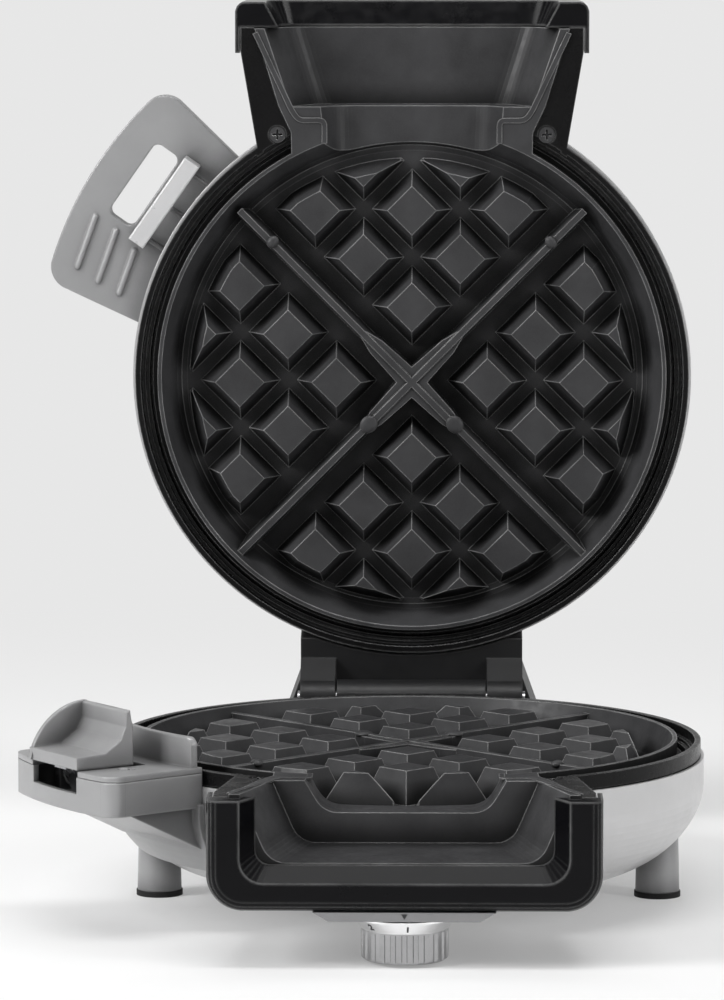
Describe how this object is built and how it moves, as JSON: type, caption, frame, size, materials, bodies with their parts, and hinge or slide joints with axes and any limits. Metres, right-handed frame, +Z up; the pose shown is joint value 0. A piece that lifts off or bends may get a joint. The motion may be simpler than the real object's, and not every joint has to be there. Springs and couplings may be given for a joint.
{
  "type": "waffle maker",
  "caption": "Round upright waffle maker with a pouring spout: two hinged grid plates in metal covers, a stand, two legs, a spout collar, a latch lever, a loop handle and a browning dial.",
  "frame": {"origin": "middle of the underside of the whole object, on the surface that it stands on", "axes": "+Z up, -Y towards the spout of the lowered half, +X to the right as seen from the spout"},
  "size_m": [0.2544, 0.356, 0.331],
  "materials": {
    "cover_metal": "light silver, satin",
    "rim_plastic": "black, satin",
    "plate_coating": "dark non-stick coating, finely textured",
    "collar_plastic": "glossy black",
    "heater_steel": "dull",
    "reflector_metal": "mill finish",
    "screw_steel": "blackened",
    "panel_silver": "satin silver",
    "lens_red": "clear red",
    "thermostat_body": "ceramic",
    "dial_silver": "satin silver",
    "grey_plastic": "mid grey, satin",
    "foot_rubber": "matte",
    "stand_plastic": "black, fine texture",
    "pin_steel": "ground",
    "spring_steel": "bright",
    "fuse_metal": "bright",
    "strike_plastic": "light grey, satin",
    "block_plastic": "matte",
    "gland_rubber": "matte"
  },
  "bodies": {
    "rear_half_on_stand": {"rear_cover": "cover_metal", "rear_rim": "rim_plastic", "rear_grid_plate": "plate_coating", "rear_collar": "collar_plastic", "rear_heater": "heater_steel", "rear_reflector": "reflector_metal", "rear_rim_screws": "screw_steel", "thermal_fuse": "fuse_metal", "loop_handle": "grey_plastic", "strike_bar": "strike_plastic", "stand": "stand_plastic", "stand_base": "stand_plastic", "stand_pads": "foot_rubber", "stand_screws": "pin_steel", "hinge_pin": "pin_steel", "terminal_block": "block_plastic", "cord_gland": "gland_rubber"},
    "front_half": {"front_cover": "cover_metal", "front_rim": "rim_plastic", "front_grid_plate": "plate_coating", "front_collar": "collar_plastic", "front_heater": "heater_steel", "front_reflector": "reflector_metal", "front_rim_screws": "screw_steel", "control_panel": "panel_silver", "indicator_lenses": "lens_red", "thermostat": "thermostat_body", "left_leg": "grey_plastic", "right_leg": "grey_plastic", "leg_pads": "foot_rubber", "front_hinge_arm": "stand_plastic", "latch_housing": "grey_plastic", "latch_top": "grey_plastic", "latch_pin": "pin_steel", "latch_spring": "spring_steel"},
    "latch_lever": {"latch_lever": "grey_plastic"},
    "browning_dial": {"control_dial": "dial_silver", "dial_shaft": "pin_steel"}
  },
  "joints": [
    {"name": "lid_hinge", "type": "hinge", "parent": "rear_half_on_stand", "child": "front_half", "pos_m": [0.01674, 0.097, 0.056], "axis": [-1, 0, 0], "range_deg": [0, 90]},
    {"name": "lever_pivot", "type": "hinge", "parent": "front_half", "child": "latch_lever", "pos_m": [-0.09622, -0.09933, 0.0544], "axis": [-0.5736, 0.8192, 0], "range_deg": [0, 8]},
    {"name": "dial_turn", "type": "hinge", "parent": "front_half", "child": "browning_dial", "pos_m": [0.01674, -0.158, 0.011], "axis": [0, 0, 1], "range_deg": [0, 240]}
  ]
}
